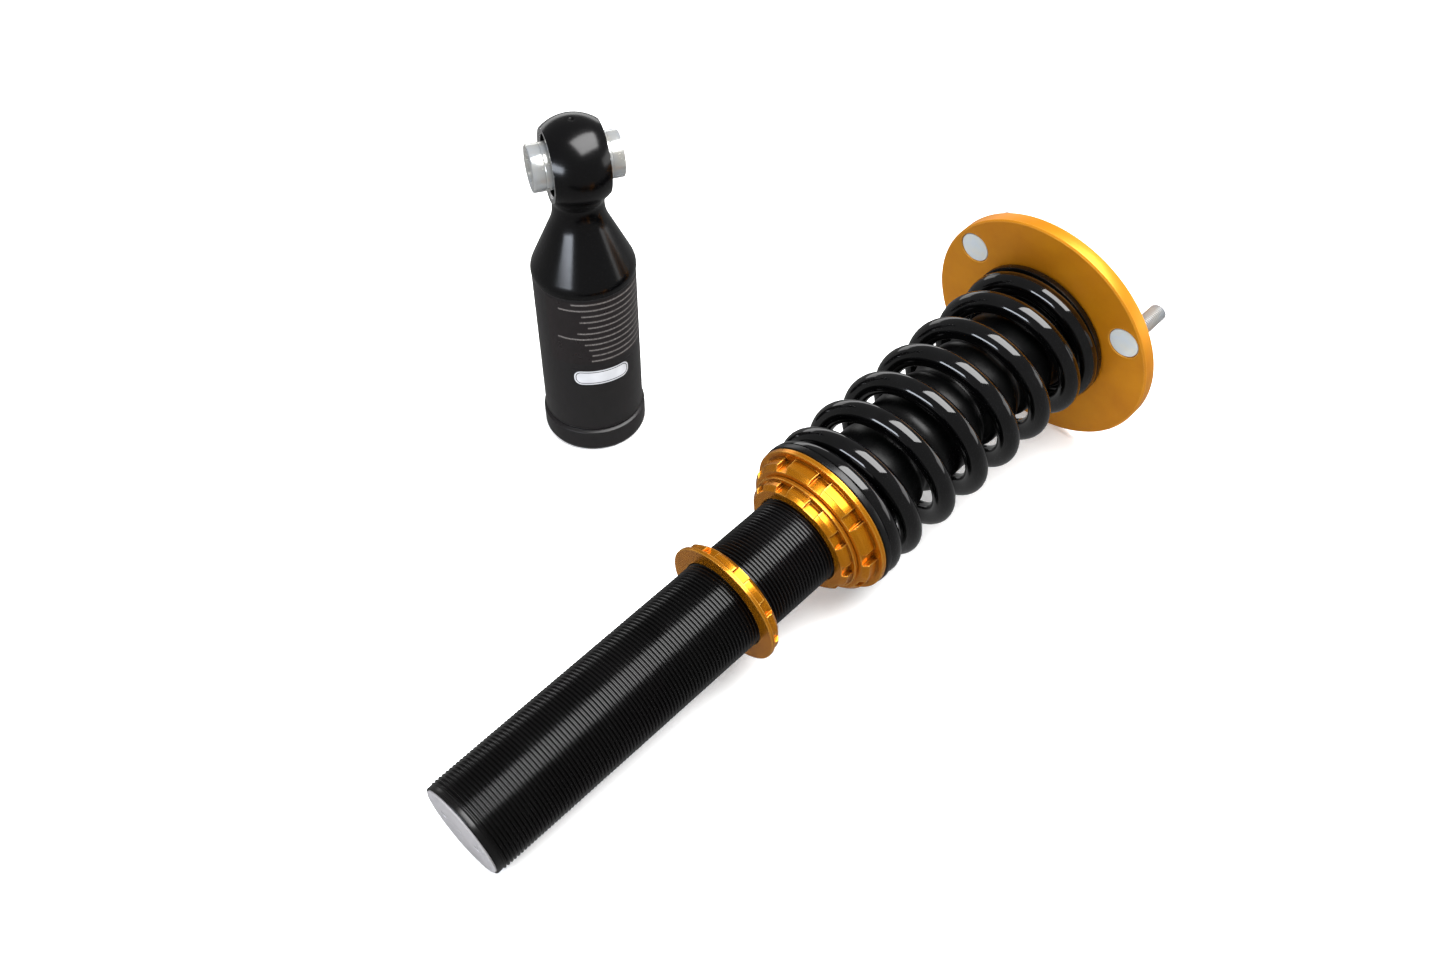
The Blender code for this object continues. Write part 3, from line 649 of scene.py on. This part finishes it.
def circlip(name, node, outer_r, inner_r, low, high, matrix, body, turn=0.0):
    """A bored-hole circlip: a plain ring, open at one place."""
    made = lathe(name, [(outer_r, high), (outer_r, low), (inner_r, low), (inner_r, high)],
                 matrix, body, STEEL, [node], 96, 0.12 * MM)
    middle = (outer_r + inner_r) / 2
    at = matrix @ Matrix.Rotation(turn, 4, "Z") @ Matrix.Translation((middle, 0.0, (low + high) / 2))
    cut_by(made, [tool(box_mesh((12.0 * MM, 8.0 * MM, 6.0 * MM)), at)])


bearing("top", 13.5 * MM, 8.2 * MM, BALL_STATION, 5.3 * MM, 19.0 * MM, 5.9 * MM, DAMPER, "rod", "top_mount")
circlip("top_circlip_sprung", "top_circlip", 20.3 * MM, 16.5 * MM, 428.6 * MM, 429.9 * MM, DAMPER,
        "top_mount")
ON_ROD_R = 5.3 * MM                     # bore of what sits on the rod's top
lathe("top_spacer_turned", [
    (8.0 * MM, 434.7 * MM), (8.0 * MM, 430.7 * MM), (ON_ROD_R, 430.7 * MM), (ON_ROD_R, 434.7 * MM)],
    DAMPER, "rod", ZINC, ["rod_top_spacer"], 64)


def hex_nut(name, node, corner, low, high, bore, body):
    """A hexagon nut with its corners turned off at both faces."""
    work = bmesh.new()
    bmesh.ops.create_cone(work, cap_ends=True, segments=6, radius1=corner, radius2=corner, depth=high - low,
                          matrix=Matrix.Translation((0, 0, (low + high) / 2)))
    made = piece(name, to_mesh(work, name), DAMPER, body, ZINC, [node])
    flat = corner * 0.90
    slope = (corner - flat) * 0.58
    shell = tool([(corner * 1.5, high + MM), (corner * 1.5, low - MM), (flat, low - MM), (flat, low),
                  (corner + 0.01 * MM, low + slope), (corner + 0.01 * MM, high - slope), (flat, high),
                  (flat, high + MM)], DAMPER, 96)
    drill = tool([(0.0, high + MM), (bore, high + MM), (bore, low - MM), (0.0, low - MM)], DAMPER, 48)
    cut_by(made, [shell, drill])
    break_edges(made, 0.12 * MM, 1, 40.0)


hex_nut("top_nut_hexagon", "rod_top_nut", 9.8 * MM, 435.0 * MM, 443.0 * MM, ON_ROD_R, "rod")


def knurled(name, node, radius, low, high, depth, teeth, inner, body, material):
    """A knob with a straight knurl and a blind bore."""
    work = bmesh.new()
    profile = rounded([(0.0, high), (radius, high, 0.8 * MM), (radius, low, 0.6 * MM), (inner, low),
                       (inner, high - 7.7 * MM), (0.0, high - 7.7 * MM)], 0.2 * MM)
    columns = turn_into(work, profile, teeth * 4)
    for i, column in enumerate(columns):
        if i % 4 in (1, 2):
            for v in column:
                r = math.hypot(v.co.x, v.co.y)
                if r > radius - 0.05 * MM:
                    v.co.x *= (radius - depth) / radius
                    v.co.y *= (radius - depth) / radius
    return piece(name, to_mesh(work, name), DAMPER, body, material, [node], 28.0)


knob = knurled("adjuster_knob_knurled", "adjuster_knob", 8.0 * MM, 446.0 * MM, 458.0 * MM, 0.45 * MM, 30,
               ON_ROD_R, "adjuster", BARE)
pointer = tool(box_mesh((1.2 * MM, 12.0 * MM, 1.6 * MM)), along_damper(458.2 * MM))
cut_by(knob, [pointer])


# ---------------------------------------------------------------- lower mount
BODY_R, EYE_R, EYE_HALF = 28.3 * MM, 24.2 * MM, 14.8 * MM
EYE_BORE_R = 16.0 * MM
SLEEVE_R, SLEEVE_BORE_R, SLEEVE_END = 12.3 * MM, 6.2 * MM, 23.8 * MM
crown = [(EYE_R * math.sin(math.radians(a)), EYE_AT.z + EYE_R * math.cos(math.radians(a)), 0.0)
         for a in range(8, 133, 4)]
BODY_PROFILE = [(0.0, 200.4 * MM), (1.6 * MM, 202.9 * MM, 0.3 * MM)] + crown + [
    (16.4 * MM, 160.6 * MM, 1.5 * MM), (13.8 * MM, 156.6 * MM, 3.5 * MM), (13.9 * MM, 150.0 * MM, 3.0 * MM),
    (15.1 * MM, 144.8 * MM, 3.0 * MM), (28.0 * MM, 116.8 * MM, 2.5 * MM), (28.7 * MM, 114.0 * MM, 1.5 * MM),
    (BODY_R, 110.4 * MM, 0.5 * MM), (BODY_R, 16.6 * MM, 0.4 * MM), (27.6 * MM, 15.9 * MM, 0.3 * MM),
    (27.6 * MM, 14.6 * MM, 0.3 * MM), (29.4 * MM, 13.9 * MM, 0.5 * MM), (29.4 * MM, 2.6 * MM, 0.8 * MM),
    (27.9 * MM, 0.0, 0.3 * MM)]


def lower_mount():
    """A turned body with two flats and a bore through its eye. The flats and the bore's chamfers are
    bright."""
    made = threaded("lower_mount_turned", 25.4 * MM, 0.8 * MM, THREAD_PITCH, 2.0 * MM, 92.0 * MM,
                    [(26.2 * MM, 93.0 * MM), (26.2 * MM, 98.0 * MM), (0.0, 98.0 * MM)]
                    + BODY_PROFILE + [(26.3 * MM, 0.0), (26.3 * MM, 1.2 * MM)],
                    UPRIGHT, "lower_mount", [BODY, MACHINED], ["lower_mount_body"], 128, True)
    turn = Matrix.Rotation(math.atan2(EYE_AXIS.y, EYE_AXIS.x), 4, "Z")
    tools = [tool(box_mesh((20.0 * MM, 60.0 * MM, 52.0 * MM)),
                  UPRIGHT @ turn @ Matrix.Translation((side * (EYE_HALF + 10.0 * MM), 0.0, 180.5 * MM)))
             for side in (-1, 1)]
    bore = [(0.0, 20.0 * MM), (17.0 * MM, 20.0 * MM), (17.0 * MM, EYE_HALF), (EYE_BORE_R, 13.8 * MM),
            (EYE_BORE_R, 8.8 * MM), (17.2 * MM, 8.8 * MM), (17.2 * MM, 7.1 * MM), (EYE_BORE_R, 7.1 * MM)]
    bore += [(r, -z) for r, z in reversed(bore)]
    tools.append(tool(bore, EYE, 96))
    cut_by(made, tools)
    inverse = made.matrix_world.inverted()
    at, along = inverse @ EYE_AT, inverse.to_3x3() @ EYE_AXIS
    for face in made.data.polygons:
        out = face.center - at
        offset = abs(out.dot(along))
        wide = (out - along * out.dot(along)).length
        facing = abs(face.normal.dot(along)) > 0.6
        flat = offset > EYE_HALF - 0.1 * MM
        chamfer = offset > 13.7 * MM and wide < 17.3 * MM
        if face.center.z > 155.0 * MM and facing and (flat or chamfer):
            face.material_index = 1


lower_mount()
bearing("lower", 13.0 * MM, 9.5 * MM, 0.0, 8.0 * MM, 15.7 * MM, 7.0 * MM, EYE, "eye_ball", "lower_mount")
for i, side in ((1, 1), (2, -1)):
    low, high = sorted((side * 7.3 * MM, side * 8.6 * MM))
    circlip(f"lower_circlip_{i}_sprung", f"lower_circlip_{i}", 16.9 * MM, 13.5 * MM, low, high, EYE,
            "lower_mount", math.pi)
    sleeve = [(SLEEVE_R, SLEEVE_END, 0.7 * MM), (SLEEVE_R, 17.6 * MM, 0.1 * MM),
              (12.1 * MM, 17.3 * MM, 0.1 * MM),
              (SLEEVE_R, 17.0 * MM, 0.1 * MM), (SLEEVE_R, 13.0 * MM, 0.3 * MM), (8.6 * MM, 9.8 * MM),
              (7.7 * MM, 9.8 * MM), (7.7 * MM, 0.2 * MM), (SLEEVE_BORE_R, 0.2 * MM),
              (SLEEVE_BORE_R, SLEEVE_END, 0.7 * MM)]
    if side < 0:
        sleeve = [(p[0], -p[1], *p[2:]) for p in reversed(sleeve)]
    lathe(f"lower_sleeve_{i}_turned", sleeve, EYE, "eye_sleeves", ZINC, [f"lower_sleeve_{i}"], 96)


# ---------------------------------------------------------------- printed film on the lower mount
FILM_TURN = -112.0                      # degrees about +Z from +X to the film's middle
ROW_PITCH, FIRST_ROW = 3.95 * MM, 70.5 * MM


def film_angle(n):
    """Angle round the body from the film's middle, and height."""
    x, y, z = n.split()
    return n.math("ARCTAN2", y, x), z


def between(n, value, low, high, soft):
    """1 between two values and 0 outside them, with a soft edge."""
    return n.math("MULTIPLY", n.span(value, low - soft, low + soft),
                  n.span(value, high - soft, high + soft, 1.0, 0.0))


def printed_lines(name):
    """Plain grey rules of uneven length on a dark film."""
    film = (0.0105, 0.0080, 0.0082)
    n = Nodes(name, film, 0.0, 0.30, Specular_IOR_Level=0.40)
    angle, z = film_angle(n)
    step = n.math("DIVIDE", n.math("SUBTRACT", z, FIRST_ROW), ROW_PITCH)
    row = n.math("FLOOR", step)
    within = n.math("SUBTRACT", step, row)
    length = n.node("TexWhiteNoise", "Value", {"W": n.math("ADD", row, 0.5)}, noise_dimensions="1D")
    past = n.math("SUBTRACT", angle, n.span(length, 0.0, 1.0, math.radians(-56.0), math.radians(-14.0)))
    ink = n.math("MULTIPLY", between(n, within, 0.30, 0.54, 0.05), n.span(past, 0.0, 0.01))
    ink = n.math("MULTIPLY", ink, n.span(angle, math.radians(58.0), math.radians(58.6), 1.0, 0.0))
    ink = n.math("MULTIPLY", ink, n.span(n.noise(1500.0, 2.0), 0.35, 0.60, 0.45, 1.0))
    tone = n.mix(n.math("MULTIPLY", ink, 0.75), film, (0.20, 0.185, 0.175))
    return n.finish(Base_Color=tone, Roughness=n.span(n.noise(200.0, 3.0), 0.3, 0.7, 0.27, 0.34))


def printed_badge(name):
    """A plain silver lozenge with a dark line inside its edge."""
    n = Nodes(name, SATIN_BLACK, 0.0, 0.34, Specular_IOR_Level=0.42)
    angle, z = film_angle(n)
    wide = n.math("ABSOLUTE", n.math("MULTIPLY", n.math("SUBTRACT", angle, math.radians(-4.0)), BODY_R))
    tall = n.math("ABSOLUTE", n.math("SUBTRACT", z, 56.0 * MM))
    u = n.math("MAXIMUM", n.math("SUBTRACT", wide, 12.0 * MM), 0.0)
    v = n.math("MAXIMUM", n.math("SUBTRACT", tall, 0.6 * MM), 0.0)
    away = n.length(u, v)
    inside = n.span(away, 4.25 * MM, 4.35 * MM, 1.0, 0.0)
    ring = between(n, away, 3.0 * MM, 3.5 * MM, 0.06 * MM)
    ink = n.math("SUBTRACT", inside, ring)
    shade = n.mix(n.span(n.noise(60.0, 2.0), 0.35, 0.65), (0.46, 0.47, 0.49), (0.60, 0.61, 0.63))
    return n.finish(Base_Color=n.mix(ink, SATIN_BLACK, shade), Roughness=n.span(ink, 0.0, 1.0, 0.34, 0.42))


def film_patch(name, low, high, half_angle, material, steps=48):
    """A thin film on the body, between two heights and two angles."""
    inner, outer = BODY_R + 0.02 * MM, BODY_R + 0.08 * MM
    work = bmesh.new()
    columns = []
    for i in range(steps + 1):
        angle = math.radians(-half_angle + 2 * half_angle * i / steps)
        columns.append([work.verts.new(at_angle(r, angle, z))
                        for r, z in ((inner, low), (outer, low), (outer, high), (inner, high))])
    strip_into(work, columns)
    work.faces.new(columns[0])
    work.faces.new(columns[-1])
    matrix = UPRIGHT @ Matrix.Rotation(math.radians(FILM_TURN), 4, "Z")
    piece(name, to_mesh(work, name), matrix, "lower_mount", material, ())


film_patch("label_film", 66.0 * MM, 109.4 * MM, 65.0, printed_lines("printed_lines"))
film_patch("badge_film", 50.0 * MM, 62.0 * MM, 40.0, printed_badge("printed_badge"))


# ---------------------------------------------------------------- CAD nodes that stay, with better finishes
FINISHES = {
    "steel": STEEL, "bare_aluminium": BARE, "rubber": RUBBER, "brass": BRASS, "foam": FOAM, "zinc": ZINC,
    "gold": GOLD, "tube_black": TUBE, "mount_black": BODY, "spring_black": SPRING}
SLOTS = {entry["node"]: entry["material_slot"] for entry in frame["record"]["subparts"]}
for node, obj in frame["nodes"].items():
    finish = FINISHES[SLOTS[node]]
    for slot in obj.material_slots:
        slot.material = finish
    if not obj.material_slots:
        obj.data.materials.append(finish)


# ---------------------------------------------------------------- studio
WORLD_STRENGTH = 0.22
WHITE = (1.0, 1.0, 1.0)


def floor():
    """A pale floor that lights the object from below and stays out of its mirror reflections."""
    n = Nodes("studio_floor", (0.90, 0.90, 0.90), 0.0, 0.60, Specular_IOR_Level=0.15,
              Emission_Color=(*WHITE, 1.0), Emission_Strength=0.32)
    tone = n.mix(n.span(n.noise(3.0, 2.0), 0.3, 0.7), (0.895, 0.895, 0.895), (0.91, 0.91, 0.91))
    finish = n.finish(Base_Color=tone, Normal=n.bump(n.noise(900.0, 2.0), 0.01 * MM, 0.2))
    work = bmesh.new()
    bmesh.ops.create_circle(work, cap_ends=True, segments=96, radius=6.0)
    made = bpy.data.objects.new("studio_floor", to_mesh(work, "studio_floor"))
    made.data.materials.append(finish)
    made.location.z = -0.0003
    bpy.context.scene.collection.objects.link(made)
    made.visible_glossy = False


def softbox(name, at, aim, size, radiance, colour=WHITE):
    light = bpy.data.lights.new(name, "AREA")
    light.shape = "RECTANGLE"
    light.size, light.size_y = size
    light.energy = radiance * math.pi * size[0] * size[1]
    light.color = colour
    made = bpy.data.objects.new(name, light)
    made.location = at
    made.rotation_euler = (Vector(aim) - Vector(at)).to_track_quat("-Z", "Y").to_euler()
    bpy.context.scene.collection.objects.link(made)
    return made


floor()
# A wide overhead softbox on the camera's side, a small low one at the left, two pale walls and a soft fill
softbox("overhead", (0.34, -0.37, 1.0), (0.34, -0.37, 0.0), (1.10, 0.78), 8.5)
softbox("low_left", (-0.64, 0.0, 0.28), (0.05, 0.0, 0.12), (0.36, 0.17), 12.0, (0.84, 0.90, 1.0))
softbox("wall_right", (1.25, -0.75, 0.25), (0.1, -0.05, 0.05), (1.3, 0.5), 1.8)
softbox("wall_behind", (0.80, 1.35, 0.25), (0.0, 0.0, 0.1), (1.8, 0.5), 1.4)
fill = softbox("fill", (-0.1, 0.4, 2.4), (-0.1, 0.2, 0.0), (3.2, 3.2), 3.4)
fill.visible_glossy = False

world = bpy.data.worlds.new("studio")
world.use_nodes = True
background = world.node_tree.nodes["Background"]
background.inputs["Color"].default_value = (*WHITE, 1.0)
background.inputs["Strength"].default_value = WORLD_STRENGTH
scene = bpy.context.scene
scene.world = world
scene.view_settings.view_transform = "Standard"

# ---------------------------------------------------------------- camera
EYE_POINT = Vector((BASE.x - 0.14417, BASE.y - 0.30765, 0.59037))
FORWARD = Vector((0.48494, 0.48623, -0.72692)).normalized()
ROLL = math.radians(0.3394)
SENSOR_WIDTH, FOCAL_LENGTH = 36.0, 35.445
side = FORWARD.cross(Vector((0.0, 0.0, 1.0))).normalized()
above = side.cross(FORWARD)
camera_data = bpy.data.cameras.new("camera")
camera_data.sensor_width = SENSOR_WIDTH
camera_data.lens = FOCAL_LENGTH
camera = bpy.data.objects.new("camera", camera_data)
scene.collection.objects.link(camera)
camera.matrix_world = axes(side * math.cos(ROLL) + above * math.sin(ROLL),
                           above * math.cos(ROLL) - side * math.sin(ROLL), -FORWARD, EYE_POINT)
scene.camera = camera
